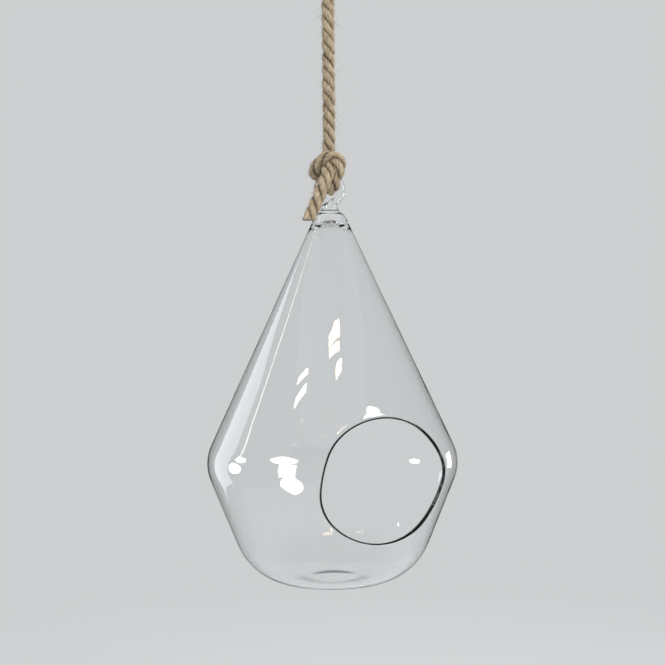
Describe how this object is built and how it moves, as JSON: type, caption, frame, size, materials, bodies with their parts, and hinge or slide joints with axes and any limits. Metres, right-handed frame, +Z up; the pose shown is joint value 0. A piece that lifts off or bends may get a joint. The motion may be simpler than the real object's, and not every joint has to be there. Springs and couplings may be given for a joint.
{
  "type": "hanging glass vase",
  "caption": "Hanging clear glass vase, a double cone with a round side opening and a glass eye, tied to a natural jute rope with a hang loop.",
  "frame": {"origin": "centre of the hook that the hang loop goes over, on the rope's axis", "axes": "+Z up along the rope and the vessel's axis, the side opening faces -Y, +X to the right as seen from the opening's side"},
  "size_m": [0.12, 0.1112, 0.3406],
  "materials": {
    "clear_glass": "polished",
    "jute_rope": "rough"
  },
  "bodies": {
    "hanger": {"hang_loop": "jute_rope", "top_knot": "jute_rope", "top_tail": "jute_rope", "rope_upper": "jute_rope"},
    "rope": {"rope_lower": "jute_rope", "eye_knot": "jute_rope", "eye_bight": "jute_rope", "rope_tail": "jute_rope"},
    "vase": {"glass_vessel": "clear_glass", "hanging_eye": "clear_glass"}
  },
  "joints": [
    {"name": "rope_twist", "type": "hinge", "parent": "hanger", "child": "rope", "pos_m": [0, 0, -0.0805], "axis": [0, 0, 1], "range_deg": [-180, 180], "stiffness_Nm_per_rad": 0.001},
    {"name": "vase_swing", "type": "hinge", "parent": "rope", "child": "vase", "pos_m": [0, 0, -0.134], "axis": [1, 0, 0], "range_deg": [-25, 25]}
  ]
}
